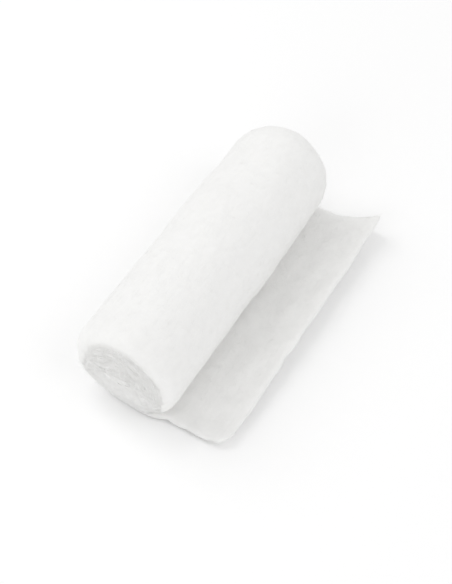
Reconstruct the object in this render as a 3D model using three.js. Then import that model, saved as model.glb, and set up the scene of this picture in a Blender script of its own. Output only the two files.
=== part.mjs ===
// Cast padding roll: one strip of soft white non-woven padding, wound into a roll that lies on its side,
// with the strip's loose end coming out from under the roll and curling up towards its free edge.
// Millimetres, +Z up. X runs along the roll, from its near, open face at -X to its far face at +X.
// The loose end points to -Y. The origin is on the surface that the roll rests on, below the roll's middle.
import * as THREE from 'three';

// Driving dimensions of the strip
const STRIP_WIDTH = 150;
const STRIP_THICKNESS = 1.5;
const CORNER_RADIUS = { near: 9, far: 2.5 };

// Sections across the roll, a row for each place along it. at: place along X. wide, high: the wound
// part's width and crown. lean: shift of its middle towards +Y. reach: distance of the free edge from
// the origin. rises: distance at which the loose end leaves the surface. lift: height of the free edge.
const SECTIONS = [
  { at: -75, wide: 52.6, high: 51.6, lean: 0.0, reach: 50.4, rises: 37, lift: 3.5 },
  { at: -50, wide: 52.4, high: 51.6, lean: 0.1, reach: 52.0, rises: 33, lift: 6.0 },
  { at: -20, wide: 52.8, high: 51.8, lean: 0.2, reach: 52.8, rises: 29, lift: 8.5 },
  { at: 10, wide: 53.8, high: 52.0, lean: 0.0, reach: 53.4, rises: 28, lift: 9.5 },
  { at: 36, wide: 52.4, high: 51.6, lean: -0.2, reach: 53.8, rises: 28, lift: 9.5 },
  { at: 58, wide: 52.4, high: 51.6, lean: 0.0, reach: 53.9, rises: 28, lift: 10.5 },
  { at: 75, wide: 52.4, high: 51.8, lean: 0.2, reach: 54.4, rises: 28, lift: 13.5 },
];

// Soft shoulders where the wound part meets its end faces. inset: how far the radius draws in.
// run: the length over which it does.
const SHOULDER = {
  near: { inset: 0.3, run: 3.6 },
  far: { inset: 6.5, run: 14.0 },
};

// Past the strip's edge, the outermost turn reaches over the rim of the near face. over, along: how far it
// reaches towards the middle and from how far along the roll. out: how far its edge stands out past the
// strip's width. It is firm at the bottom, and softest at an angle up from +Y of SOFT_SIDE.
const FIRM_RIM = { over: 3.4, along: 4.5, out: 2.5 };
const SOFT_RIM = { over: 6.8, along: 8.4, out: 4.8 };
const SOFT_SIDE = THREE.MathUtils.degToRad(80);
const RIM_FULLNESS = 0.8;
// How far the rim has bent over at each of its rings, in degrees
const RIM_BENDS = [32, 45, 58, 73, 90];

// The near face bulges a little. keep: share of the size of the rim's edge. bulge: share of the way from
// where the rim's edge stands to where the middle does.
const NEAR_FACE = [
  { keep: 0.94, bulge: 0.0 },
  { keep: 0.65, bulge: 0.5 },
  { keep: 0.32, bulge: 0.95 },
];

// The far face, from the rim to the middle. keep: share of the end ring's size. out: how far it stands out
// past the strip's edge, below zero where it is dished in.
const FAR_FACE = [
  { keep: 0.96, out: 1.1 },
  { keep: 0.88, out: 1.6 },
  { keep: 0.74, out: 0.4 },
  { keep: 0.52, out: -0.2 },
  { keep: 0.28, out: 0.0 },
];
const MIDDLE_OUT = { near: 5.0, far: 0.1 };

// The wound part is a little rounder below its crown than above the surface
const ROUND_SHARE = 0.508;
const RISE_POWER = 1.65;

// Fineness of the mesh
const RING_STEPS = 48;
const FLAT_STEPS = 6;
const SHEET_STEPS = 11;
const PLAIN_STATIONS = 20;
const END_STATIONS = 6;

const HALF_WIDTH = STRIP_WIDTH / 2;

// Smooth value of a section column at a place along the roll, by a cubic through the rows
function column(name, x) {
  const last = SECTIONS.length - 1;
  let row = 0;
  while (row < last - 1 && x > SECTIONS[row + 1].at) {
    row += 1;
  }
  const slope = (i) => {
    const before = SECTIONS[Math.max(i - 1, 0)];
    const after = SECTIONS[Math.min(i + 1, last)];
    return (after[name] - before[name]) / (after.at - before.at);
  };
  const from = SECTIONS[row];
  const to = SECTIONS[row + 1];
  const span = to.at - from.at;
  const t = (x - from.at) / span;
  const t2 = t * t;
  const t3 = t2 * t;
  return (2 * t3 - 3 * t2 + 1) * from[name] + (t3 - 2 * t2 + t) * span * slope(row)
    + (3 * t2 - 2 * t3) * to[name] + (t3 - t2) * span * slope(row + 1);
}

// How far a rounded edge has drawn in, at a distance from the end it belongs to
function drawnIn(distance, inset, run) {
  if (distance >= run) {
    return 0;
  }
  const share = 1 - distance / run;
  return inset * (1 - Math.sqrt(1 - share * share));
}

// The wound part's section: an oval that its weight has pressed flat where it meets the surface
function oval(x) {
  const inset = drawnIn(x + HALF_WIDTH, SHOULDER.near.inset, SHOULDER.near.run)
    + drawnIn(HALF_WIDTH - x, SHOULDER.far.inset, SHOULDER.far.run);
  const high = column('high', x) - inset;
  const across = column('wide', x) / 2 - inset;
  const up = high * ROUND_SHARE;
  const middle = high - up;
  const atHeight = (z) => across * Math.sqrt(1 - ((z - middle) / up) ** 2);
  return { across, up, middle, lean: column('lean', x), crease: atHeight(STRIP_THICKNESS), flat: atHeight(0) };
}

// The near rim's sizes in the direction of a point round the section, between firm and soft
function rimTowards(section, point) {
  const angle = Math.atan2(point.z - section.middle, point.y - section.lean);
  const soft = THREE.MathUtils.smoothstep(Math.cos(angle - SOFT_SIDE), -0.9, 0.1);
  const between = (name) => THREE.MathUtils.lerp(FIRM_RIM[name], SOFT_RIM[name], soft);
  return { over: between('over'), along: between('along'), out: between('out') };
}

// Points of the wound part's ring, from the crease up, over the crown, down the back and along the flat
function rollRing(x) {
  const section = oval(x);
  const start = Math.PI + Math.asin((section.middle - STRIP_THICKNESS) / section.up);
  const end = -Math.asin(section.middle / section.up);
  const ring = [];
  for (let step = 0; step <= RING_STEPS; step += 1) {
    const angle = start + (end - start) * (step / RING_STEPS);
    const y = section.lean + section.across * Math.cos(angle);
    const z = section.middle + section.up * Math.sin(angle);
    ring.push(new THREE.Vector3(x, y, step === RING_STEPS ? 0 : z));
  }
  const creaseY = section.lean - section.crease;
  const backY = section.lean + section.flat;
  for (let step = 1; step <= FLAT_STEPS; step += 1) {
    ring.push(new THREE.Vector3(x, backY + (creaseY - backY) * (step / FLAT_STEPS), 0));
  }
  return ring;
}

// Underside height of the loose end at a distance from the origin, and its slope there
function rise(x, distance) {
  const from = column('rises', x);
  const run = column('reach', x) - from;
  const share = Math.max((distance - from) / run, 0);
  const lift = column('lift', x);
  return { height: lift * share ** RISE_POWER, slope: lift * RISE_POWER * share ** (RISE_POWER - 1) / run };
}

// The loose end's section: its upper and lower points, from the crease to the free edge
function looseEnd(x) {
  const section = oval(x);
  const crease = section.crease - section.lean;
  const corner = drawnIn(x + HALF_WIDTH, CORNER_RADIUS.near, CORNER_RADIUS.near)
    + drawnIn(HALF_WIDTH - x, CORNER_RADIUS.far, CORNER_RADIUS.far);
  const reach = column('reach', x) - corner;
  const upper = [];
  const lower = [];
  for (let step = 1; step <= SHEET_STEPS; step += 1) {
    const distance = crease + (reach - crease) * (step / SHEET_STEPS);
    const { height, slope } = rise(x, distance);
    const tilt = Math.hypot(1, slope);
    lower.push(new THREE.Vector3(x, -distance, height));
    upper.push(new THREE.Vector3(x, -distance + STRIP_THICKNESS * slope / tilt, height + STRIP_THICKNESS / tilt));
  }
  return { upper, lower };
}

// Places along the roll of its sections, closer together at the two soft ends
function stations() {
  const places = [];
  const endRun = (side, step) => SHOULDER[side].run * (1 - Math.cos((Math.PI / 2) * (step / END_STATIONS)));
  for (let step = 0; step < END_STATIONS; step += 1) {
    places.push(-HALF_WIDTH + endRun('near', step));
  }
  const from = -HALF_WIDTH + SHOULDER.near.run;
  const to = HALF_WIDTH - SHOULDER.far.run;
  for (let step = 0; step <= PLAIN_STATIONS; step += 1) {
    places.push(from + (to - from) * (step / PLAIN_STATIONS));
  }
  for (let step = END_STATIONS - 1; step >= 0; step -= 1) {
    places.push(HALF_WIDTH - endRun('far', step));
  }
  return places;
}

// A ring's points drawn in towards a middle point, each by a share and to a place along X of its own
function drawnRing(ring, middle, shape) {
  return ring.map((point) => {
    const { keep, at } = shape(point);
    const moved = middle.clone().lerp(point, keep);
    moved.x = at;
    return moved;
  });
}

// Rings of the near end: over the rim, and then in to the middle of the bulging face
function nearRings(section, ring, middle) {
  const overRim = RIM_BENDS.map(THREE.MathUtils.degToRad).map((bend) => drawnRing(ring, middle, (point) => {
    const { over, along, out } = rimTowards(section, point);
    const radius = Math.hypot(point.y - section.lean, point.z - section.middle);
    const inset = over * (1 - Math.cos(bend) ** RIM_FULLNESS);
    return { keep: 1 - inset / radius, at: middle.x - out + along * (1 - Math.sin(bend) ** RIM_FULLNESS) };
  }));
  const edge = overRim[overRim.length - 1];
  const onFace = NEAR_FACE.map(({ keep, bulge }) => drawnRing(edge, middle, (point) => (
    { keep, at: THREE.MathUtils.lerp(point.x, middle.x - MIDDLE_OUT.near, bulge) }
  )));
  return [...overRim, ...onFace];
}

// Rings that close an end of the wound part, and its middle point
function endFace(side, ring) {
  const outward = side === 'near' ? -1 : 1;
  const section = oval(outward * HALF_WIDTH);
  const middle = new THREE.Vector3(outward * HALF_WIDTH, section.lean, section.middle);
  const rings = side === 'near'
    ? nearRings(section, ring, middle)
    : FAR_FACE.map(({ keep, out }) => drawnRing(ring, middle, () => ({ keep, at: middle.x + out })));
  const centre = middle.clone();
  centre.x += outward * MIDDLE_OUT[side];
  return { rings, centre };
}

// Collects numbered points and triangles of a closed mesh
class MeshBuilder {
  constructor() {
    this.points = [];
    this.triangles = [];
  }

  add(points) {
    const first = this.points.length;
    this.points.push(...points);
    return points.map((_, index) => first + index);
  }

  quad(a, b, c, d) {
    this.triangles.push(a, b, c, a, c, d);
  }

  // Joins two rows of numbered points by quads
  band(rowA, rowB) {
    for (let i = 0; i + 1 < rowA.length; i += 1) {
      this.quad(rowA[i], rowB[i], rowB[i + 1], rowA[i + 1]);
    }
  }

  geometry() {
    const geometry = new THREE.BufferGeometry();
    const positions = this.points.flatMap((point) => [point.x, point.y, point.z]);
    geometry.setAttribute('position', new THREE.Float32BufferAttribute(positions, 3));
    geometry.setIndex(this.triangles);
    geometry.computeVertexNormals();
    return geometry;
  }
}

// The whole strip as one closed body: wound part, loose end and the two end faces
function paddingRollGeometry() {
  const mesh = new MeshBuilder();
  const rows = stations().map((x) => {
    const ring = rollRing(x);
    const { upper, lower } = looseEnd(x);
    const roll = mesh.add(ring);
    const top = mesh.add(upper);
    const bottom = mesh.add(lower);
    const crease = roll[0];
    const under = roll[roll.length - 1];
    // One outline: round the wound part, out along the underside, back along the upper side
    const outline = [...roll, ...bottom, ...[...top].reverse(), crease];
    return { ring, roll, outline, edge: { top: [crease, ...top], bottom: [under, ...bottom] } };
  });
  for (let i = 0; i + 1 < rows.length; i += 1) {
    mesh.band(rows[i].outline, rows[i + 1].outline);
  }
  const closeEnd = (side, row) => {
    const { rings, centre } = endFace(side, row.ring);
    const nearSide = side === 'near';
    let outer = [...row.roll, row.roll[0]];
    for (const ring of rings) {
      const numbers = mesh.add(ring);
      const inner = [...numbers, numbers[0]];
      mesh.band(nearSide ? inner : outer, nearSide ? outer : inner);
      outer = inner;
    }
    const [tip] = mesh.add([centre]);
    for (let i = 0; i + 1 < outer.length; i += 1) {
      mesh.triangles.push(...(nearSide ? [outer[i], outer[i + 1], tip] : [outer[i + 1], outer[i], tip]));
    }
    const { top, bottom } = row.edge;
    mesh.band(nearSide ? top : bottom, nearSide ? bottom : top);
  };
  closeEnd('near', rows[0]);
  closeEnd('far', rows[rows.length - 1]);
  return mesh.geometry();
}

const padding = new THREE.MeshStandardMaterial({ color: 0xf3f3f0, roughness: 0.95, metalness: 0 });

const paddingRoll = new THREE.Mesh(paddingRollGeometry(), padding);
paddingRoll.name = 'padding_strip';

const part = new THREE.Group();
part.name = 'cast_padding_roll';
part.add(paddingRoll);

export default part;
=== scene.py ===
"""Cast padding roll: a wide strip of soft white non-woven padding, wound into a roll that lies on its side.

The strip is one sheet, wound turn by turn. Its loose end comes out from under the roll and curls up.
Metres. X runs along the roll, the loose end points to -Y, and the origin is on the floor below the roll.
"""

import math

import bpy
import numpy as np
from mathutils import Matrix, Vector


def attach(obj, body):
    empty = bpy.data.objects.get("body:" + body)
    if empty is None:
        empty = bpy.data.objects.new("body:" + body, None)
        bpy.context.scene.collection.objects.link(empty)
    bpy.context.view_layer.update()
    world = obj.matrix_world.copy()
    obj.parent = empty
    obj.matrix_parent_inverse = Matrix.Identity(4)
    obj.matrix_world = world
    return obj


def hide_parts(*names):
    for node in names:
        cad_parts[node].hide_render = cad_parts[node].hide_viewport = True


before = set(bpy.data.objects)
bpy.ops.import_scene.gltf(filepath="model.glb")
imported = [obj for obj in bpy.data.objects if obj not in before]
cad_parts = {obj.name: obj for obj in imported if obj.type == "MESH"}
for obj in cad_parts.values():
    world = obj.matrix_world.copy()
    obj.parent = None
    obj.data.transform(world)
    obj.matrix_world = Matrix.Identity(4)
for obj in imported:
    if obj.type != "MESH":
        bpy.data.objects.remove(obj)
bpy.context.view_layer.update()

bl_info = {
    "name": "Cast padding roll",
    "version": (1, 0, 0),
    "blender": (4, 5, 0),
    "location": "3D View > Sidebar > Padding roll",
    "description": "Winds a strip of non-woven padding into a roll with a loose end",
    "category": "Object",
}

MM = 0.001
CAD_NODE = "padding_strip"
BODY = "root"
STRIP_NAME = "padding_strip_wound"

# Sections across the roll, in millimetres, a row for each place along it. at: place along X. wide, high:
# the wound part's width and crown. lean: shift of its middle towards +Y. reach: distance of the free edge
# from the origin. rises: distance at which the loose end leaves the floor. lift: height of the free edge.
SECTIONS = (
    {"at": -75, "wide": 52.6, "high": 51.6, "lean": 0.0, "reach": 50.4, "rises": 37, "lift": 3.5},
    {"at": -50, "wide": 52.4, "high": 51.6, "lean": 0.1, "reach": 52.0, "rises": 33, "lift": 6.0},
    {"at": -20, "wide": 52.8, "high": 51.8, "lean": 0.2, "reach": 52.8, "rises": 29, "lift": 8.5},
    {"at": 10, "wide": 53.8, "high": 52.0, "lean": 0.0, "reach": 53.4, "rises": 28, "lift": 9.5},
    {"at": 36, "wide": 52.4, "high": 51.6, "lean": -0.2, "reach": 53.8, "rises": 28, "lift": 9.5},
    {"at": 58, "wide": 52.4, "high": 51.6, "lean": 0.0, "reach": 53.9, "rises": 28, "lift": 10.5},
    {"at": 75, "wide": 52.4, "high": 51.8, "lean": 0.2, "reach": 54.4, "rises": 28, "lift": 13.5},
)
# Radius of the wound part upwards, as a share of its height. The floor cuts off the rest, as a flat spot.
ROUND_SHARE = 0.508
# The loose end's corners, and how sharply it curls up: a power, of which 1 is a straight slope
CORNER_RADIUS = {"near": 6.0, "far": 2.5}
RISE_POWER = 1.65
# uneven_from, stands_out: distances from the crease, at which the loose end is fully uneven, and up to which
# its near edge stands out like the roll's underside. dips: most of its height that it dips by. waves_in: how
# far in the waves of its long edges reach. rim, thinner: width of its rim, and the share of the thickness
# lost there. raised: height above which the rim thins from below too.
LOOSE_END = {
    "uneven_from": 14.0, "stands_out": 12.0, "dips": 0.8, "waves_in": 6.0, "rim": 1.6, "thinner": 0.5,
    "raised": 1.5,
}

# The far end's turns are drawn in over the last stretch
FAR_SHOULDER = {"inset": 6.5, "run": 14.0}
# Under the roll the turns lie flat on those below them. to: the share of their room that they are pressed to.
# soft: how gently they turn up from there.
PRESSED = {"to": 0.9, "soft": 0.2}
# The outermost turn grows lumpy between these heights, and between these shares of a turn from the crease
LUMPY = {"height": (2.0, 9.0), "place": (0.05, 0.15)}
# At the near end the outermost turn reaches over the rim of the end face. over, along: how far it reaches
# towards the middle, and from how far along the roll. out: how far its edge stands out past the strip's
# width. It is firm at the bottom and softest at SOFT_SIDE, an angle round the roll, upwards from +Y, and it
# changes between two cosines of the angle from there. LEAST_RIM: what is left of over where it lies flat.
# RIM_FULLNESS: 1 rounds the rim like a circle, and less makes it fuller.
FIRM_RIM = {"over": 3.4, "along": 4.5, "out": 2.0}
SOFT_RIM = {"over": 6.8, "along": 8.4, "out": 4.5}
SOFT_SIDE = math.radians(98.0)
FIRM_TO_SOFT = (-0.9, 0.1)
LEAST_RIM = 0.05
RIM_FULLNESS = 0.8
# A fold in the rim on its +Y side, where it reaches further over the face and further out. at, wide: angles
# round the roll. The rest is added to the values above.
SIDE_FOLD = {
    "at": math.radians(18.0), "wide": math.radians(38.0), "over": 2.8, "out": 0.9, "less_full": 0.15,
}
# Shares of a turn, from the crease, over which the strip comes up from under the roll and goes back under it
LEAVES_FLOOR = (0.03, 0.15)
MEETS_FLOOR = (0.93, 1.0)
# The other turns end in the face, which bulges a little. below_rim: how far it lies behind the rim.
# middle_out, under_out: how far its middle, and the underside on the floor, stand out past the strip's width.
# bulges_by: share of the way from the rim to the middle at which the bulge is full. ragged: how uneven it is.
# settles: distance along the roll over which all this fades out.
NEAR_FACE = {
    "below_rim": 0.1, "middle_out": 4.9, "under_out": 2.2, "bulges_by": 0.7, "ragged": 0.22, "settles": 45.0,
}
# The turns under the rim. short: how far their edges stop short of the outermost turn. short_from, face_from:
# shares of the rim's depth, from which they stop short in full, and from which they reach into the face.
UNDER_RIM = {"short": 0.5, "short_from": 0.12, "face_from": 0.6}
# There the strip swells, up to this many times the room between two turns
SWELL = {"to": 1.15, "full_at": 3.0, "none_at": 12.0}
# Rounding of the strip's near edge. thinner: share of the thickness that it loses. run: over what distance.
OUTERMOST_EDGE = {"thinner": 0.75, "run": 2.4}
INNER_EDGE = {"thinner": 0.25, "run": 0.6}

# Unevenness of the strip. by: how much, in millimetres or as a share of the thickness. seed: added to the
# strip's own. waves: how many are added up. lengths: the shortest and the longest of them, in millimetres.
UNEVEN = {
    "loose end": {"by": 0.3, "seed": 1, "waves": 14, "lengths": (9.0, 40.0)},
    "free edge": {"by": 0.35, "seed": 6, "waves": 14, "lengths": (5.0, 30.0)},
    "long edges": {"by": 0.28, "seed": 7, "waves": 14, "lengths": (5.0, 25.0)},
    "loft": {"by": 0.14, "seed": 8, "waves": 14, "lengths": (4.0, 16.0)},
    "broad lumps": {"by": 0.28, "seed": 5, "waves": 14, "lengths": (14.0, 55.0)},
    "fine lumps": {"by": 0.09, "seed": 9, "waves": 24, "lengths": (4.5, 11.0)},
    "rim": {"by": 0.5, "seed": 2, "waves": 14, "lengths": (6.0, 30.0)},
    "face": {"by": 1.0, "seed": 3, "waves": 14, "lengths": (3.0, 10.0)},
    "turn in the face": {"by": 0.6, "seed": 4, "waves": 14, "lengths": (5.0, 20.0)},
}
# Shift of the last of these from each turn to the next
TURN_SHIFT = 31.0
# A nick in the free edge
NICK = {"at": 22.0, "wide": 1.1, "deep": 0.9}
# The near edge stands a little off the floor, under the roll and along the loose end. below: the height up to
# which the roll's side is lifted with it.
NEAR_CURL = {"lift": 1.1, "run": 7.0, "below": 12.0}

# The innermost turn: half width and half height, and its middle beside the roll's middle
CORE = {"across": 6.5, "up": 0.5, "shift_y": 2.2, "shift_z": -1.0}
# Gaps that the turns leave near the core. y, z: place in the section. wide: half length. opens: half height.
CORE_GAPS = (
    {"y": 9.1, "z": 27.4, "wide": 1.3, "opens": 0.40},
    {"y": 8.0, "z": 25.4, "wide": 1.1, "opens": 0.30},
    {"y": 11.6, "z": 21.4, "wide": 1.5, "opens": 0.30},
    {"y": 4.7, "z": 28.4, "wide": 1.0, "opens": 0.30},
    {"y": 3.7, "z": 26.5, "wide": 1.2, "opens": 0.35},
    {"y": 1.4, "z": 24.5, "wide": 1.7, "opens": 0.50},
    {"y": 0.8, "z": 21.4, "wide": 1.4, "opens": 0.40},
    {"y": -3.4, "z": 22.4, "wide": 1.8, "opens": 0.45},
    {"y": -7.0, "z": 27.4, "wide": 1.5, "opens": 0.35},
)
# How the turns part round a gap. moves, reach: as shares of the gap's opens. sharp: distance over which they
# change sides. thins, thin_within: how much thinner they are, and how close to the gap.
PARTING = {"moves": 0.6, "reach": 3.0, "sharp": 0.5, "thins": 0.6, "thin_within": 0.6}

# Distances of the mesh's lines from the strip's long edges and from its free edge, in millimetres. gap: the
# room between lines in the middle. The turns that only show at the ends of the roll have fewer lines.
OUTER_LINES = {"near": (0, .3, .8, 1.5, 2.5, 3.8, 5.4, 7.2, 9.4, 12, 15.5, 20), "gap": 4.5,
               "far": (20, 15, 11, 8, 5.5, 3.6, 2.2, 1.1, .4, 0)}
INNER_LINES = {"near": OUTER_LINES["near"], "gap": 40, "far": (20, 11, 5.5, 2.5, .8, 0)}
FREE_EDGE_LINES = (0, .5, 1.2, 2.2, 3.6, 5.5, 7.8, 10.5, 13.6, 17, 20.6, 24.4, 28.3, 32.3, 36.3)
# From the last of these to the crease. They are all stretched to the loose end's own length.
CREASE_STEP = 4.0
# Turns in the mesh's outer part, and degrees between its lines round the roll
OUTER_TURNS = 1.25
TURN_STEP = 5.0

# Fibres that have come loose from the surface: closed tubes. bends, wiggles: how far they usually stray
# sideways, as shares of their length. hugs: share of a round surface's curve that they follow. tapers: share
# of the thickness lost at the tip.
FIBRE = {"sides": 3, "rings": 5, "bends": 0.3, "wiggles": 0.05, "hugs": 0.9, "tapers": 0.6}
# Fibres at the loose end's edges. shares: how many lie at the free, near and far edge. root: how far inside
# the edge they start. strays: how far from the middle of the thickness. spread: most they turn, in radians.
EDGE_FIBRES = {"shares": (0.64, 0.18, 0.18), "root": (0.3, 1.5), "strays": 0.3, "spread": 1.1}
# Fibres in the end faces. strays: how far from a turn's edge they start. along: share of it along the roll.
FACE_FIBRES = {"strays": 0.4, "along": 0.2}
# Share of a turn from the crease at which the roll's fuzz starts
ROLL_FUZZ_FROM = 0.1
# Pieces of fuzz. lies_on: number of fibres on each part of the strip. wide: thickness of a fibre. long:
# shortest and longest fibre. lifts: usual height of a fibre's free end. radius: of the surface the fibres
# lie on.
ON_ROLL = {"wide": 0.035, "long": (1.5, 5.0), "lifts": 0.03, "radius": 26.0}
ON_LOOSE_END = {"wide": 0.06, "long": (0.8, 2.8), "lifts": 0.05, "radius": 1000.0}
ON_ENDS = {"wide": 0.06, "long": (1.2, 4.0), "lifts": 0.05, "radius": 1000.0}
FUZZ = {
    "fuzz_roll_near": {"lies_on": {"roll, near half": 7000}, **ON_ROLL},
    "fuzz_roll_far": {"lies_on": {"roll, far half": 7000}, **ON_ROLL},
    "fuzz_loose_end": {
        "lies_on": {"loose end, upper side": 5300, "loose end, raised underside": 500, "edges": 1600},
        **ON_LOOSE_END,
    },
    "fuzz_ends": {"lies_on": {"near face": 5000, "far face": 1100, "rim": 1400}, **ON_ENDS},
}


# Settings that a user would change

class PaddingStripSettings(bpy.types.PropertyGroup):
    """The strip as it was cut, and how it is wound"""

    width: bpy.props.FloatProperty(
        name="Strip width", description="Width of the strip, the roll's length",
        default=0.150, min=0.05, max=0.3, unit="LENGTH", subtype="DISTANCE")
    length: bpy.props.FloatProperty(
        name="Strip length", description="Length of the unwound strip",
        default=2.7, min=0.5, max=5.0, unit="LENGTH", subtype="DISTANCE")
    loose_thickness: bpy.props.FloatProperty(
        name="Loft", description="Thickness of the strip where nothing presses it",
        default=0.0015, min=0.0005, max=0.005, unit="LENGTH", subtype="DISTANCE")
    turns: bpy.props.FloatProperty(
        name="Turns", description="Number of turns from the crease to the middle",
        default=27.0, min=3.0, max=60.0)
    fill: bpy.props.FloatProperty(
        name="Fill", description="Share of the room between two turns that the strip fills",
        default=0.9, min=0.3, max=1.0, subtype="FACTOR")
    seed: bpy.props.IntProperty(
        name="Seed", description="Changes the unevenness of the strip", default=7, min=0)


class PaddingFinishSettings(bpy.types.PropertyGroup):
    """Colour and surface of the padding"""

    colour: bpy.props.FloatVectorProperty(
        name="Padding", description="Colour of the thick places of the padding",
        default=(0.918, 0.916, 0.906), size=3, min=0.0, max=1.0, subtype="COLOR")
    thin_colour: bpy.props.FloatVectorProperty(
        name="Thin places", description="Colour of the thin places of the padding",
        default=(0.878, 0.876, 0.866), size=3, min=0.0, max=1.0, subtype="COLOR")
    fibre_width: bpy.props.FloatProperty(
        name="Fibre pattern", description="Width of the strands of fibre that show in the surface",
        default=0.0005, min=0.0001, max=0.002, unit="LENGTH", subtype="DISTANCE")
    cloud_size: bpy.props.FloatProperty(
        name="Cloud size", description="Distance between thick and thin places",
        default=0.0025, min=0.001, max=0.03, unit="LENGTH", subtype="DISTANCE")
    relief: bpy.props.FloatProperty(
        name="Relief", description="Height of the fibres in the surface",
        default=0.00016, min=0.0, max=0.002, unit="LENGTH", subtype="DISTANCE")


class PaddingStageSettings(bpy.types.PropertyGroup):
    """Floor and soft studio light"""

    floor_colour: bpy.props.FloatVectorProperty(
        name="Floor", description="Colour of the floor", default=(0.99, 0.99, 0.99), size=3,
        min=0.0, max=1.0, subtype="COLOR")
    sky: bpy.props.FloatProperty(
        name="Sky", description="Strength of the light from all round", default=0.71, min=0.0)
    softboxes: bpy.props.FloatProperty(
        name="Softboxes", description="Power of each softbox, before its own share",
        default=4.0, min=0.0, unit="POWER")


SETTINGS = {
    "padding_strip": PaddingStripSettings,
    "padding_finish": PaddingFinishSettings,
    "padding_stage": PaddingStageSettings,
}


# Shape of the wound strip

def smoothstep(value, low, high):
    """Rises smoothly from 0 at low to 1 at high"""
    share = np.clip((value - low) / (high - low), 0.0, 1.0)
    return share * share * (3.0 - 2.0 * share)


def higher(a, b, soft):
    """The greater of two heights, with a soft turn between them"""
    return 0.5 * (a + b + np.sqrt((a - b) ** 2 + soft * soft)) - 0.25 * soft


def column(name, x):
    """A section column at places along the roll, by a cubic through the rows"""
    at = np.array([row["at"] for row in SECTIONS], float)
    value = np.array([row[name] for row in SECTIONS], float)
    before = np.maximum(np.arange(len(at)) - 1, 0)
    after = np.minimum(np.arange(len(at)) + 1, len(at) - 1)
    slope = (value[after] - value[before]) / (at[after] - at[before])
    x = np.clip(x, at[0], at[-1])
    row = np.clip(np.searchsorted(at, x) - 1, 0, len(at) - 2)
    span = at[row + 1] - at[row]
    t = (x - at[row]) / span
    return ((2 * t**3 - 3 * t**2 + 1) * value[row] + (t**3 - 2 * t**2 + t) * span * slope[row]
            + (3 * t**2 - 2 * t**3) * value[row + 1] + (t**3 - t**2) * span * slope[row + 1])


def drawn_in(distance, inset, run):
    """How far a rounded edge has drawn in, at a distance from the end it belongs to"""
    share = np.clip(1.0 - distance / run, 0.0, 1.0)
    return inset * (1.0 - np.sqrt(1.0 - share * share))


def near_curl(near):
    """How far the strip stands off the floor at a distance from its near edge"""
    return NEAR_CURL["lift"] * np.exp(-(near / NEAR_CURL["run"]) ** 2)


def waves(seed, count, shortest, longest):
    """Directions, wave numbers and phases of a smooth random field"""
    rng = np.random.default_rng(seed)
    angle = rng.uniform(0.0, 2.0 * math.pi, count)
    length = np.exp(rng.uniform(math.log(shortest), math.log(longest), count))
    wave_number = 2.0 * math.pi / length
    return np.cos(angle) * wave_number, np.sin(angle) * wave_number, rng.uniform(0, 6.28, count)


def uneven(kind, seed, u, v):
    """A smooth random field over two distances in millimetres"""
    field = UNEVEN[kind]
    total = np.zeros(np.broadcast(u, v).shape)
    for a, b, phase in zip(*waves(seed + field["seed"], field["waves"], *field["lengths"])):
        total += np.sin(a * u + b * v + phase)
    return field["by"] * (total / math.sqrt(field["waves"]))


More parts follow.
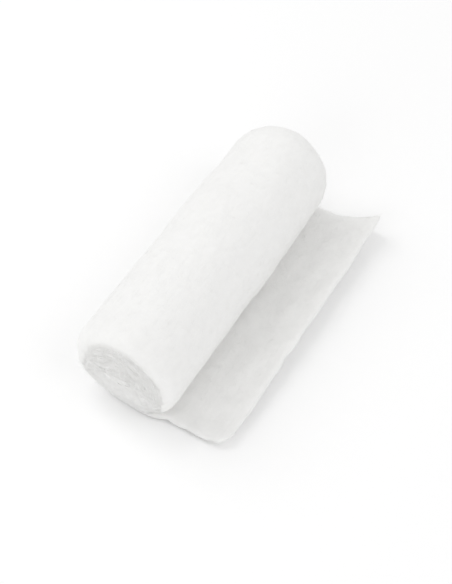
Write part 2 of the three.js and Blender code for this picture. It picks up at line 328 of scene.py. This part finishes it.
class Winding:
    """Places of the strip's points, from the free edge inwards and from its near edge to its far edge"""

    # Share of a turn in which it steps inwards, and the number of turns from which it winds in evenly
    STEP_SHARE = 0.11
    EVEN_AFTER = 12.0
    # The turns lie looser at the outside, and in the last few turns near the core
    LOOSE_OUTSIDE = 0.45
    LOOSE_CORE = 0.05
    CORE_TURNS = 5.0

    def __init__(self, strip):
        self.half = strip.width / MM / 2.0
        self.thick = strip.loose_thickness / MM
        self.turns = strip.turns
        self.fill = strip.fill
        self.seed = strip.seed

    def across(self, lines):
        """Distances of the mesh's long lines from the near edge"""
        near = np.array(lines["near"], float)
        far = 2.0 * self.half - np.array(lines["far"], float)
        middle = np.linspace(near[-1], far[0], round((far[0] - near[-1]) / lines["gap"]) + 1)[1:-1]
        return np.concatenate([near, middle, far])

    def inwards(self, first, last):
        """Numbers of turns from the crease of the mesh's lines round the roll"""
        return np.linspace(first, last, round((last - first) * 360.0 / TURN_STEP) + 1)

    def section(self, x):
        """The wound part's outer section: half width, radius upwards, height of its middle and lean"""
        inset = drawn_in(self.half - x, FAR_SHOULDER["inset"], FAR_SHOULDER["run"])
        high = column("high", x) - inset
        up = high * ROUND_SHARE
        return column("wide", x) / 2.0 - inset, up, high - up, column("lean", x)

    def packed(self, n):
        """Room that the outermost n turns take, in turns of the usual thickness"""
        in_core = np.maximum(n - (self.turns - self.CORE_TURNS), 0.0)
        return n + self.LOOSE_OUTSIDE * (1.0 - np.exp(-n)) + self.LOOSE_CORE * in_core ** 2

    def depth(self, place):
        """How many turns lie outside the strip at a place, stepping in where the turns lie flat"""
        turn = np.floor(place)
        share = place - turn
        evenness = np.clip(turn / self.EVEN_AFTER, 0.0, 1.0)
        before = np.clip((turn - 1.0) / self.EVEN_AFTER, 0.0, 1.0)
        stepped = smoothstep(share, 0.0, self.STEP_SHARE)
        inner = turn + evenness * share - (1.0 - stepped) * (1.0 - before)
        return np.where(turn < 1.0, 0.0, inner)

    def loose_end(self, x, near, far):
        """Underside points of the loose end, a row for each line from the free edge to the crease"""
        across, up, middle, lean = self.section(x)
        crease = across * np.sqrt(1.0 - ((self.thick - middle) / up) ** 2) - lean
        corner = (drawn_in(near, CORNER_RADIUS["near"], CORNER_RADIUS["near"])
                  + drawn_in(far, CORNER_RADIUS["far"], CORNER_RADIUS["far"]))
        reach = column("reach", x) - corner + uneven("free edge", self.seed, x, 0.0)
        reach = reach - NICK["deep"] * np.exp(-((x - NICK["at"]) / NICK["wide"]) ** 2)
        inwards = np.array(FREE_EDGE_LINES)[:, None]
        distance = reach - (reach - crease) * inwards / (FREE_EDGE_LINES[-1] + CREASE_STEP)
        run = column("reach", x) - column("rises", x)
        height = column("lift", x) * (np.maximum(distance - column("rises", x), 0.0) / run) ** RISE_POWER
        away = smoothstep(distance, crease, crease + LOOSE_END["uneven_from"])
        ripple = uneven("loose end", self.seed, x, distance) * away
        height = height + np.maximum(ripple, -LOOSE_END["dips"] * height)
        height = height + near_curl(near)
        # The long edges are a little wavy
        wave = uneven("long edges", self.seed, distance, 0.0) * away
        at_near, at_far = (np.exp(-edge / LOOSE_END["waves_in"]) for edge in (near, far))
        x = x + wave * at_near + wave[::-1] * at_far
        # Towards the crease the near edge stands out like the roll's underside
        settled = smoothstep(near, FIRM_RIM["along"], NEAR_FACE["settles"])
        at_crease = 1.0 - smoothstep(distance, crease, crease + LOOSE_END["stands_out"])
        x = x - NEAR_FACE["under_out"] * at_crease * (1.0 - settled)
        # The rims are softer and thinner than the rest
        to_rim = np.minimum(np.minimum(near, far), inwards)
        soft_rim = 1.0 - LOOSE_END["thinner"] * (1.0 - np.minimum(to_rim / LOOSE_END["rim"], 1.0)) ** 2
        thick = self.thick * soft_rim * (1.0 + uneven("loft", self.seed, x, distance))
        height = height + 0.5 * (self.thick - self.thick * soft_rim) * (height > LOOSE_END["raised"])
        return x, -distance, height, thick

    def wound(self, place, x, near):
        """Outer points of the wound part at places inwards from the crease, and the thickness there"""
        turn = np.floor(place)
        depth = self.depth(place)
        share = self.packed(depth) / self.packed(self.turns)
        spacing = (self.packed(depth + 1.0) - self.packed(depth)) / self.packed(self.turns)
        across, up, middle, lean = self.section(x)
        start = np.arcsin((middle - self.thick) / up) - math.pi
        angle = start + place * 2.0 * math.pi
        half = across + (CORE["across"] - across) * share
        rise = up + (CORE["up"] - up) * share
        y = lean + CORE["shift_y"] * share + half * np.cos(angle)
        z = middle + CORE["shift_z"] * share + rise * np.sin(angle)
        room = np.hypot((across - CORE["across"]) * np.cos(angle), (up - CORE["up"]) * np.sin(angle))
        layer = room * spacing
        # The turns lie flat on those below them
        stack = PRESSED["to"] * (up - CORE["up"]) * self.packed(turn) / self.packed(self.turns)
        z = np.where((turn < 1.0) & (angle < -math.pi / 2.0), 0.0, higher(z, stack, PRESSED["soft"]))
        # The loose end's loft settles to that of the turns before the strip leaves the floor
        thick = layer * self.fill
        settling = smoothstep(place, 0.0, LEAVES_FLOOR[0])
        thick = np.where(turn < 1.0, self.thick + (thick - self.thick) * settling, thick)
        # The outermost turn is lumpy where it is free of the floor and of itself
        free = smoothstep(z, *LUMPY["height"]) * smoothstep(place, *LUMPY["place"])
        free = free * (1.0 - smoothstep(place, *MEETS_FLOOR))
        lump = (uneven("broad lumps", self.seed, x, middle * angle)
                + uneven("fine lumps", self.seed, x, middle * angle))
        radius = np.hypot(y - lean, z - middle)
        y = y + (y - lean) / radius * lump * free
        z = z + (z - middle) / radius * lump * free
        across_flat = np.arctan2(z - middle, y - lean)
        outer = 1.0 / np.hypot(np.cos(across_flat) / across, np.sin(across_flat) / up)
        outer = np.minimum(outer, middle / np.maximum(-np.sin(across_flat), 0.1))
        deep = np.where(turn < 1.0, 0.0, np.maximum(outer - np.hypot(y - lean, z - middle), 0.0))
        x, y, z, thick = self.near_end(x, near, place, angle, deep, (y, z, lean, middle), thick)
        z, thinned = self.opened(y, z, thick * np.sin(angle))
        z = z + near_curl(near) * (1.0 - smoothstep(z, 0.0, NEAR_CURL["below"]))
        return x, y, z, thick * thinned

    def opened(self, y, z, inner_side):
        """Heights of the turns once they part round the gaps near the core, and how thin they are there"""
        moved = np.zeros(z.shape)
        thinned = np.ones(z.shape)
        for gap in CORE_GAPS:
            beside = ((y - gap["y"]) / gap["wide"]) ** 2
            above = z - 0.5 * inner_side - gap["z"]
            fades = np.exp(-beside - (above / (PARTING["reach"] * gap["opens"])) ** 2)
            moved += PARTING["moves"] * gap["opens"] * np.tanh(above / PARTING["sharp"]) * fades
            thinned *= 1.0 - PARTING["thins"] * np.exp(-beside ** 2 - (above / PARTING["thin_within"]) ** 4)
        return z + moved, thinned

    def near_end(self, x, near, place, angle, deep, middle_place, thick):
        """Folds the outermost turn and those below it over the near rim, and ends the others in the face"""
        y, z, lean, middle = middle_place
        # Under the roll the strip lies flat, and so do the turns on it
        share = place - np.floor(place)
        leaves = smoothstep(share, *LEAVES_FLOOR) * (1.0 - smoothstep(share, *MEETS_FLOOR))
        soft = smoothstep(np.cos(angle - SOFT_SIDE), *FIRM_TO_SOFT)
        over, along, out = (FIRM_RIM[name] + (SOFT_RIM[name] - FIRM_RIM[name]) * soft
                            for name in ("over", "along", "out"))
        over = over + uneven("rim", self.seed, middle * angle, 0.0)
        fold = np.exp(-(np.sin(0.5 * (angle - SIDE_FOLD["at"])) / math.sin(0.5 * SIDE_FOLD["wide"])) ** 2)
        over = over + SIDE_FOLD["over"] * fold
        out = out + SIDE_FOLD["out"] * fold
        fullness = RIM_FULLNESS + SIDE_FOLD["less_full"] * fold
        over = np.maximum(over * leaves, LEAST_RIM)
        out = NEAR_FACE["under_out"] + (out - NEAR_FACE["under_out"]) * leaves
        radius = np.hypot(y - lean, z - middle)
        below = np.clip(deep / over, 0.0, 1.0)
        inner = np.clip((deep - over) / (middle - over), 0.0, 1.0)
        # Each turn is ragged in its own way
        ragged = (uneven("face", self.seed, y, z)
                  + uneven("turn in the face", self.seed, radius * angle, TURN_SHIFT * np.floor(place)))
        behind = NEAR_FACE["below_rim"] - NEAR_FACE["ragged"] * ragged
        behind = behind - (NEAR_FACE["middle_out"] - out) * smoothstep(inner, 0.0, NEAR_FACE["bulges_by"])
        # Under the rim, the edges stop just short of the outermost turn
        at_face = smoothstep(below, UNDER_RIM["face_from"], 1.0)
        short = UNDER_RIM["short"] * smoothstep(below, 0.0, UNDER_RIM["short_from"])
        tip_out = out - behind * at_face - short * (1.0 - at_face)
        base = -self.half - out + along
        reach_out = np.maximum(base + self.half + tip_out, 0.5)
        reach_in = over * (1.0 - below)
        arc = 0.5 * math.pi * np.sqrt(0.5 * (reach_out ** 2 + reach_in ** 2))
        arc = arc + (reach_out - arc) * at_face
        to_arc = np.clip(1.0 - near / arc, 0.0, 1.0)
        bent = 0.5 * math.pi * to_arc
        placed = base - reach_out * (np.sin(bent) ** fullness * (1.0 - at_face) + to_arc * at_face)
        lying = placed + np.maximum(near - arc, 0.0)
        pull = 1.0 - smoothstep(near, arc, NEAR_FACE["settles"])
        drawn = reach_in * (1.0 - np.cos(bent) ** fullness)
        squeezed = np.where(place > 1.0, 1.0 + (np.cos(bent) - 1.0) * (1.0 - below), 1.0)
        # Where nothing presses it, at the face, the strip swells, and its edge is rounded on both sides. The
        # outermost turn's edge is drawn out thin.
        at_edge = 1.0 - smoothstep(near, SWELL["full_at"], SWELL["none_at"])
        swollen = 1.0 + (SWELL["to"] / self.fill - 1.0) * at_edge * (place > 1.0)
        full = thick * squeezed * swollen
        outermost = place <= 1.0
        thinner = np.where(outermost, OUTERMOST_EDGE["thinner"] * leaves, INNER_EDGE["thinner"])
        rounding = np.where(outermost, OUTERMOST_EDGE["run"], INNER_EDGE["run"])
        rounded = 1.0 - thinner * (1.0 - np.minimum(near / rounding, 1.0)) ** 2
        lost = full * (1.0 - rounded)
        edge = drawn + lost * np.where(outermost, np.cos(bent), 0.5)
        lying = lying + lost * np.where(outermost, np.sin(bent), 0.0)
        keep = 1.0 - edge / np.maximum(radius, 1.0)
        return x + (lying - x) * pull, lean + (y - lean) * keep, middle + (z - middle) * keep, full * rounded

    def outer_part(self):
        """Points and thickness of the loose end and the outermost turn"""
        near = self.across(OUTER_LINES)[None, :]
        far = 2.0 * self.half - near
        x = near - self.half
        loose = self.loose_end(x, near, far)
        wound = self.wound(self.inwards(0.0, OUTER_TURNS)[:, None], x, near)
        x, y, z, thick = (np.concatenate(pair) for pair in zip(loose, wound))
        return np.stack([x, y, z], axis=-1), thick

    def inner_part(self):
        """Points and thickness of the turns that only show at the ends of the roll"""
        near = self.across(INNER_LINES)[None, :]
        x, y, z, thick = self.wound(self.inwards(OUTER_TURNS, self.turns)[:, None], near - self.half, near)
        return np.stack([x, y, z], axis=-1), thick


# Loose fibres

def unit(vectors):
    """The vectors at length 1"""
    return vectors / np.maximum(np.linalg.norm(vectors, axis=-1, keepdims=True), 1e-9)


def grid_normals(points):
    """Directions that face away from the outer side of the strip, at a grid of its points"""
    return unit(np.cross(np.gradient(points, axis=0), np.gradient(points, axis=1)))


def scattered(points, normals, count, rng):
    """Random places spread evenly over a grid of points, and the grid's two directions there"""
    down = points[1:, :-1] - points[:-1, :-1]
    along = points[:-1, 1:] - points[:-1, :-1]
    area = np.linalg.norm(np.cross(down, along), axis=-1)
    cell = rng.choice(area.size, count, p=(area / area.sum()).ravel())
    row, line = np.unravel_index(cell, area.shape)
    u = rng.random((count, 1))
    v = rng.random((count, 1))
    place = points[row, line] + down[row, line] * u + along[row, line] * v
    return place, unit(normals[row, line]), unit(down[row, line])


def fibre_paths(place, normal, first_way, kind, rng, spread=math.pi):
    """Paths of fibres that lie along the surface, within spread of the first way, and lift to their ends"""
    count = len(place)
    second_way = np.cross(normal, first_way)
    heading = rng.uniform(-spread, spread, (count, 1))
    ahead = np.cos(heading) * first_way + np.sin(heading) * second_way
    aside = np.cross(normal, ahead)
    long = rng.uniform(*kind["long"], (count, 1))
    bend = long * rng.normal(0.0, FIBRE["bends"], (count, 1))
    wiggle = long * rng.normal(0.0, FIBRE["wiggles"], (count, 1))
    # Most fibres lie flat, and a few stand out
    lift = kind["lifts"] * rng.exponential(1.0, (count, 1)).clip(0.0, 4.0) ** 2
    # On a round surface a straight fibre would leave it, so it follows the surface most of the way
    sags = FIBRE["hugs"] * (np.cos(heading) * long) ** 2 / (2.0 * kind["radius"])
    t = np.linspace(0.0, 1.0, FIBRE["rings"])[None, :, None]
    place, normal, ahead, aside = (a[:, None, :] for a in (place, normal, ahead, aside))
    long, bend, wiggle, lift, sags = (a[:, None, :] for a in (long, bend, wiggle, lift, sags))
    paths = (place + ahead * long * t + aside * (bend * t * t + wiggle * np.sin(7.0 * t))
             + normal * (lift * t ** 1.6 - sags * t * t))
    # None reaches into the floor
    paths[..., 2] = np.maximum(paths[..., 2], kind["wide"])
    return paths, normal


def new_object(name, data):
    """An object with its data, linked to the scene"""
    made = bpy.data.objects.new(name, data)
    bpy.context.scene.collection.objects.link(made)
    return made


def fibre_mesh(name, paths, normal, wide):
    """Thin closed tubes along the paths, tapered to their ends, as one mesh"""
    count, rings, _ = paths.shape
    sides = FIBRE["sides"]
    forward = unit(np.gradient(paths, axis=1))
    first = unit(np.cross(forward, normal))
    second = np.cross(forward, first)
    taper = 1.0 - FIBRE["tapers"] * np.linspace(0.0, 1.0, rings) ** 2
    radius = (0.5 * wide * taper)[None, :, None, None]
    turn = (2.0 * math.pi * np.arange(sides) / sides)[None, None, :, None]
    around = np.cos(turn) * first[:, :, None] + np.sin(turn) * second[:, :, None]
    points = paths[:, :, None] + radius * around
    ring = np.arange(rings - 1)[:, None] * sides
    side = np.arange(sides)[None, :]
    after = (side + 1) % sides
    walls = np.stack([ring + side, ring + after, ring + sides + after, ring + sides + side], axis=-1)
    walls = walls.reshape(-1, 4)
    first_number = np.arange(count)[:, None, None] * rings * sides
    quads = (walls[None] + first_number).reshape(-1, 4)
    caps = np.array([range(sides - 1, -1, -1), range((rings - 1) * sides, rings * sides)])
    caps = (caps[None] + first_number).reshape(-1, sides)
    data = bpy.data.meshes.new(name)
    data.from_pydata((points * MM).reshape(-1, 3), [], [*quads.tolist(), *caps.tolist()])
    data.update()
    return new_object(name, data)


def line_at(place):
    """Number of the outer part's line at a number of turns from the crease"""
    return len(FREE_EDGE_LINES) + round(place * 360.0 / TURN_STEP)


def outer_surfaces(winding):
    """Grids of points and normals of the roll's outside and of both sides of the loose end"""
    points, thick = winding.outer_part()
    normals = grid_normals(points)
    free = len(FREE_EDGE_LINES)
    turn = slice(line_at(ROLL_FUZZ_FROM), line_at(1.0))
    half = points.shape[1] // 2
    upper = points - normals * thick[..., None]
    raised = slice(0, free // 2)
    return {
        "roll, near half": (points[turn, :half + 1], normals[turn, :half + 1]),
        "roll, far half": (points[turn, half:], normals[turn, half:]),
        "loose end, upper side": (upper[:free], -normals[:free]),
        "loose end, raised underside": (points[raised], normals[raised]),
    }


def face_fibres(winding, line, out, count, kind, rng):
    """Paths of fibres that lie over the edges of the turns in an end face"""
    points, thick = winding.inner_part()
    edge = points[:, line] - 0.5 * thick[:, line, None] * grid_normals(points)[:, line]
    step = np.gradient(edge, axis=0)
    length = np.linalg.norm(step, axis=-1)
    row = rng.choice(len(edge), count, p=length / length.sum())
    stray = rng.uniform(-FACE_FIBRES["strays"], FACE_FIBRES["strays"], (count, 3))
    place = edge[row] + stray * (FACE_FIBRES["along"], 1.0, 1.0)
    normal = np.broadcast_to(np.array([out, 0.0, 0.0]), place.shape)
    return fibre_paths(place, normal, unit(unit(step)[row] * (0.0, 1.0, 1.0)), kind, rng)


def rim_fibres(winding, count, kind, rng):
    """Paths of fibres on the edge of the outermost turn, where it lies over the near face"""
    points, _ = winding.outer_part()
    edge = points[line_at(LEAVES_FLOOR[1]):line_at(1.0), :4]
    return fibre_paths(*scattered(edge, grid_normals(edge), count, rng), kind, rng)


def edge_fibres(winding, count, kind, rng):
    """Paths of fibres that reach out past the free edge and the long edges of the loose end"""
    points, thick = winding.outer_part()
    middle = points - 0.5 * thick[..., None] * grid_normals(points)
    loose = middle[:len(FREE_EDGE_LINES)]
    # Each rim as its outermost line of points and a line a little further in
    rims = (loose[:3], loose[:, :3].transpose(1, 0, 2), loose[:, -1:-4:-1].transpose(1, 0, 2))
    paths = []
    for rim, share in zip(rims, EDGE_FIBRES["shares"]):
        place = rim[0]
        step = np.linalg.norm(np.gradient(place, axis=0), axis=-1)
        number = rng.choice(len(place), round(count * share), p=step / step.sum())
        along = np.gradient(place, axis=0)[number]
        root = place[number] + along * rng.uniform(-0.5, 0.5, (len(number), 1))
        out = unit(rim[0] - rim[2])[number]
        normal = unit(np.cross(out, along))
        normal = normal * np.sign(normal[:, 2:])
        root = root - out * rng.uniform(*EDGE_FIBRES["root"], (len(number), 1))
        root = root + normal * rng.normal(0.0, EDGE_FIBRES["strays"], (len(number), 1))
        paths.append(fibre_paths(root, normal, out, kind, rng, spread=EDGE_FIBRES["spread"]))
    return tuple(np.concatenate(part) for part in zip(*paths))


# Making of meshes

def deselect_all():
    """Leaves nothing selected, so an operator acts only on what is added after it"""
    bpy.ops.object.select_all(action="DESELECT")


def add_length(points, thick):
    """A flat grid, bent to rows of points, with the strip's thickness added on the inner side"""
    rows, lines = thick.shape
    deselect_all()
    bpy.ops.mesh.primitive_grid_add(x_subdivisions=lines - 1, y_subdivisions=rows - 1, size=1.0)
    piece = bpy.context.object
    # The grid numbers its points a row after another
    piece.data.vertices.foreach_set("co", (points * MM).astype(np.float32).ravel())
    piece.data.update()
    loft = piece.vertex_groups.new(name="loft")
    full = thick.max()
    for index, share in enumerate((thick / full).ravel()):
        loft.add([index], float(share), "REPLACE")
    solidify = piece.modifiers.new("Loft", "SOLIDIFY")
    solidify.thickness = full * MM
    solidify.offset = 1.0
    solidify.vertex_group = loft.name
    solidify.thickness_vertex_group = 0.0
    bpy.ops.object.modifier_apply(modifier=solidify.name)
    bpy.ops.object.shade_smooth()
    return piece


def add_fuzz(strip):
    """Loose fibres on the strip, a piece for each part of its surface"""
    winding = Winding(strip)
    surfaces = outer_surfaces(winding)
    rng = np.random.default_rng(strip.seed)
    pieces = []
    for name, kind in FUZZ.items():
        parts = []
        for part, count in kind["lies_on"].items():
            if part in surfaces:
                parts.append(fibre_paths(*scattered(*surfaces[part], count, rng), kind, rng))
            elif part == "rim":
                parts.append(rim_fibres(winding, count, kind, rng))
            elif part == "edges":
                parts.append(edge_fibres(winding, count, kind, rng))
            else:
                line, out = {"near face": (0, -1.0), "far face": (-1, 1.0)}[part]
                parts.append(face_fibres(winding, line, out, count, kind, rng))
        paths, normals = (np.concatenate(part) for part in zip(*parts))
        pieces.append(fibre_mesh(name, paths, normals, kind["wide"]))
    return pieces


def add_strip(strip):
    """The whole strip: the loose end with the outermost turn, and the turns inside it, as one piece"""
    winding = Winding(strip)
    inner = add_length(*winding.inner_part())
    outer = add_length(*winding.outer_part())
    deselect_all()
    inner.select_set(True)
    outer.select_set(True)
    bpy.context.view_layer.objects.active = outer
    bpy.ops.object.join()
    outer.name = outer.data.name = STRIP_NAME
    return outer


# Materials

def set_inputs(node, values):
    """Sets a node's inputs by their names"""
    for name, value in values.items():
        node.inputs[name].default_value = value


class Nodes:
    """Adds and links the nodes of a material or a node group"""

    def __init__(self, tree):
        self.tree = tree

    def add(self, kind, inputs=None, **settings):
        """A new node, with its settings and its inputs' values"""
        node = self.tree.nodes.new(kind)
        for name, value in settings.items():
            setattr(node, name, value)
        set_inputs(node, inputs or {})
        return node

    def link(self, source, target):
        self.tree.links.new(source, target)

    def math(self, operation, first, second=None):
        """A Math node on sockets or numbers, as its output"""
        node = self.add("ShaderNodeMath", operation=operation)
        for socket, value in zip(node.inputs, (first, second)):
            if isinstance(value, (int, float)):
                socket.default_value = value
            elif value is not None:
                self.link(value, socket)
        return node.outputs[0]


def new_group(name, inputs, outputs):
    """An empty node group, with its input and output nodes"""
    tree = bpy.data.node_groups.new(name, "ShaderNodeTree")
    for label, kind, default in inputs:
        socket = tree.interface.new_socket(name=label, in_out="INPUT", socket_type=kind)
        if default is not None:
            socket.default_value = default
    for label, kind in outputs:
        tree.interface.new_socket(name=label, in_out="OUTPUT", socket_type=kind)
    nodes = Nodes(tree)
    return nodes, nodes.add("NodeGroupInput"), nodes.add("NodeGroupOutput")


# Directions in which the strands run, as turns about X, Y and Z in degrees
STRAND_TURNS = ((0, 0, 20), (60, 25, 75), (-50, 10, -40), (20, -65, 5))
# The strands' noise. scale: for strands of width 1. along: its scale along them. narrow: how thin they are.
STRAND_NOISE = {"scale": 0.25, "along": 0.13, "narrow": 7.0}
# The noise of thick and thin places. scale: for places of size 1. thin, thick: its values there.
CLOUD_NOISE = {"scale": 0.6, "thin": 0.28, "thick": 0.72}
# Their share in the depth and colour of the surface. The strands have the rest.
CLOUD_SHARE = 0.55


def strands_group():
    """Tangled strands of fibre: thin ridges in several directions, as a mask from 0 to 1"""
    inputs = (("Vector", "NodeSocketVector", None), ("Width", "NodeSocketFloat", 0.0004))
    nodes, entry, result = new_group("Strands of fibre", inputs, (("Strands", "NodeSocketFloat"),))
    scale = nodes.math("DIVIDE", STRAND_NOISE["scale"], entry.outputs["Width"])
    total = None
    for turn in STRAND_TURNS:
        rotation = [math.radians(angle) for angle in turn]
        stretch = (STRAND_NOISE["along"], 1.0, 1.0)
        lay = nodes.add("ShaderNodeMapping", {"Rotation": rotation, "Scale": stretch})
        nodes.link(entry.outputs["Vector"], lay.inputs["Vector"])
        noise = nodes.add("ShaderNodeTexNoise", {"Detail": 2.0, "Distortion": 0.5})
        nodes.link(lay.outputs["Vector"], noise.inputs["Vector"])
        nodes.link(scale, noise.inputs["Scale"])
        # A thin ridge runs wherever the noise passes its middle value
        off_middle = nodes.math("ABSOLUTE", nodes.math("SUBTRACT", noise.outputs["Fac"], 0.5))
        slope = nodes.math("SUBTRACT", 1.0, nodes.math("MULTIPLY", off_middle, STRAND_NOISE["narrow"]))
        ridge = nodes.math("POWER", nodes.math("MAXIMUM", slope, 0.0), 2.0)
        total = ridge if total is None else nodes.math("MAXIMUM", total, ridge)
    nodes.link(total, result.inputs["Strands"])
    return nodes.tree


def clouds_group():
    """Thick and thin places of the padding, as a mask from 0 to 1"""
    inputs = (("Vector", "NodeSocketVector", None), ("Size", "NodeSocketFloat", 0.006))
    nodes, entry, result = new_group("Thick and thin places", inputs, (("Thickness", "NodeSocketFloat"),))
    noise = nodes.add("ShaderNodeTexNoise", {"Detail": 4.0, "Roughness": 0.6})
    nodes.link(entry.outputs["Vector"], noise.inputs["Vector"])
    nodes.link(nodes.math("DIVIDE", CLOUD_NOISE["scale"], entry.outputs["Size"]), noise.inputs["Scale"])
    limits = {"From Min": CLOUD_NOISE["thin"], "From Max": CLOUD_NOISE["thick"]}
    spread = nodes.add("ShaderNodeMapRange", limits, interpolation_type="SMOOTHSTEP")
    nodes.link(noise.outputs["Fac"], spread.inputs["Value"])
    nodes.link(spread.outputs["Result"], result.inputs["Thickness"])
    return nodes.tree


def padding_material(finish):
    """Soft white non-woven padding: clouded where it is thick or thin, and tangled with fine fibre"""
    material = bpy.data.materials.new("Padding")
    material.use_nodes = True
    nodes = Nodes(material.node_tree)
    shader = material.node_tree.nodes["Principled BSDF"]
    place = nodes.add("ShaderNodeTexCoord").outputs["Object"]
    strands = nodes.add("ShaderNodeGroup", {"Width": finish.fibre_width}, node_tree=strands_group())
    nodes.link(place, strands.inputs["Vector"])
    clouds = nodes.add("ShaderNodeGroup", {"Size": finish.cloud_size}, node_tree=clouds_group())
    nodes.link(place, clouds.inputs["Vector"])
    depth = nodes.math("ADD", nodes.math("MULTIPLY", clouds.outputs["Thickness"], CLOUD_SHARE),
                       nodes.math("MULTIPLY", strands.outputs["Strands"], 1.0 - CLOUD_SHARE))
    colours = {"A": (*finish.thin_colour, 1.0), "B": (*finish.colour, 1.0)}
    colour = nodes.add("ShaderNodeMix", colours, data_type="RGBA")
    nodes.link(depth, colour.inputs["Factor"])
    nodes.link(colour.outputs["Result"], shader.inputs["Base Color"])
    bump = nodes.add("ShaderNodeBump", {"Strength": 0.8, "Distance": finish.relief})
    nodes.link(depth, bump.inputs["Height"])
    nodes.link(bump.outputs["Normal"], shader.inputs["Normal"])
    set_inputs(shader, {
        "Roughness": 1.0, "Specular IOR Level": 0.15, "Sheen Weight": 0.25, "Sheen Roughness": 0.6,
    })
    return material


# Operators

class PADDING_OT_wind_strip(bpy.types.Operator):
    """Wind the strip into the roll, with its loose end out"""

    bl_idname = "padding.wind_strip"
    bl_label = "Wind the strip"

    def execute(self, context):
        scene = context.scene
        piece = add_strip(scene.padding_strip)
        piece.data.materials.append(padding_material(scene.padding_finish))
        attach(piece, BODY)
        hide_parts(CAD_NODE)
        return {"FINISHED"}


class PADDING_OT_raise_fibres(bpy.types.Operator):
    bl_idname = "padding.raise_fibres"
    bl_label = "Raise loose fibres"

    def execute(self, context):
        strip = context.scene.padding_strip
        cloth = bpy.data.objects[STRIP_NAME]
        pieces = add_fuzz(strip)
        for piece in pieces:
            piece.data.materials.append(cloth.data.materials[0])
            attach(piece, BODY)
        return {"FINISHED"}


class PADDING_OT_set_stage(bpy.types.Operator):
    """Lay the pale floor, and set the camera and the soft studio light"""

    bl_idname = "padding.set_stage"
    bl_label = "Set the stage"

    def execute(self, context):
        stage = context.scene.padding_stage
        add_floor(stage)
        add_lights(stage)
        add_camera()
        return {"FINISHED"}


# Angles in degrees, as in towards(). focal_px: focal length in pixels of the photograph, whose longer side is
# long_side_px.
CAMERA = {
    "azimuth": -59.70, "elevation": 52.0, "distance": 0.50844,
    "target": (-0.01486, -0.01574, 0.02563), "focal_px": 1100.0, "long_side_px": 584.0,
}
# share: of the power that the stage's settings give each softbox
SOFTBOXES = (
    {"name": "Front softbox", "azimuth": 0.0, "elevation": 47.0, "size": 1.0, "share": 0.73},
    {"name": "Back softbox", "azimuth": 180.0, "elevation": 45.0, "size": 1.0, "share": 1.07},
    {"name": "Near softbox", "azimuth": 270.0, "elevation": 20.0, "size": 1.0, "share": 0.66},
    {"name": "Key light", "azimuth": 160.0, "elevation": 70.0, "size": 0.4, "share": 0.37},
)
SOFTBOX_DISTANCE = 1.5


def add_camera():
    """The camera, at the photograph's place"""
    data = bpy.data.cameras.new("Camera")
    camera = new_object("Camera", data)
    back = towards(CAMERA["azimuth"], CAMERA["elevation"])
    camera.location = Vector(CAMERA["target"]) + back * CAMERA["distance"]
    camera.rotation_euler = (-back).to_track_quat("-Z", "Y").to_euler()
    data.lens = data.sensor_width * CAMERA["focal_px"] / CAMERA["long_side_px"]
    data.clip_start = 0.01
    data.clip_end = 20.0
    bpy.context.scene.camera = camera


def add_floor(stage):
    """A plain pale floor"""
    deselect_all()
    bpy.ops.mesh.primitive_plane_add(size=6.0, location=(0.0, 0.0, 0.0))
    floor = bpy.context.object
    floor.name = "floor"
    material = bpy.data.materials.new("Floor")
    material.use_nodes = True
    shader = material.node_tree.nodes["Principled BSDF"]
    colour = (*stage.floor_colour, 1.0)
    set_inputs(shader, {"Base Color": colour, "Roughness": 0.9, "Specular IOR Level": 0.2})
    floor.data.materials.append(material)


def towards(azimuth, elevation):
    """Direction to a place seen from the object, from angles in degrees. Azimuth 0 is -Y and 90 is +X."""
    a = math.radians(azimuth)
    e = math.radians(elevation)
    return Vector((math.sin(a) * math.cos(e), -math.cos(a) * math.cos(e), math.sin(e)))


def add_lights(stage):
    """Light from all round, and large softboxes"""
    world = bpy.data.worlds.new("Studio")
    bpy.context.scene.world = world
    world.use_nodes = True
    background = world.node_tree.nodes["Background"]
    set_inputs(background, {"Color": (1.0, 1.0, 1.0, 1.0), "Strength": stage.sky})
    for softbox in SOFTBOXES:
        data = bpy.data.lights.new(softbox["name"], "AREA")
        data.shape = "DISK"
        data.size = softbox["size"]
        data.energy = stage.softboxes * softbox["share"]
        light = new_object(softbox["name"], data)
        light.location = SOFTBOX_DISTANCE * towards(softbox["azimuth"], softbox["elevation"])
        light.rotation_euler = (-light.location).to_track_quat("-Z", "Y").to_euler()
    bpy.context.scene.view_settings.view_transform = "Standard"


class PADDING_PT_roll(bpy.types.Panel):
    """Cast padding roll"""

    bl_idname = "PADDING_PT_roll"
    bl_label = "Padding roll"
    bl_space_type = "VIEW_3D"
    bl_region_type = "UI"
    bl_category = "Padding roll"

    def draw(self, context):
        for name, group in SETTINGS.items():
            box = self.layout.box()
            box.label(text=group.__doc__)
            for setting in group.__annotations__:
                box.prop(getattr(context.scene, name), setting)
        for operator in OPERATORS:
            self.layout.operator(operator.bl_idname)


OPERATORS = (PADDING_OT_set_stage, PADDING_OT_wind_strip, PADDING_OT_raise_fibres)


def register():
    for group in SETTINGS.values():
        bpy.utils.register_class(group)
    for name, group in SETTINGS.items():
        setattr(bpy.types.Scene, name, bpy.props.PointerProperty(type=group))
    for operator in OPERATORS:
        bpy.utils.register_class(operator)
    bpy.utils.register_class(PADDING_PT_roll)


def unregister():
    bpy.utils.unregister_class(PADDING_PT_roll)
    for operator in reversed(OPERATORS):
        bpy.utils.unregister_class(operator)
    for name in SETTINGS:
        delattr(bpy.types.Scene, name)
    for group in reversed(SETTINGS.values()):
        bpy.utils.unregister_class(group)


def main():
    """Makes the whole scene"""
    register()
    bpy.ops.padding.set_stage()
    bpy.ops.padding.wind_strip()
    bpy.ops.padding.raise_fibres()


if __name__ == "__main__":
    main()
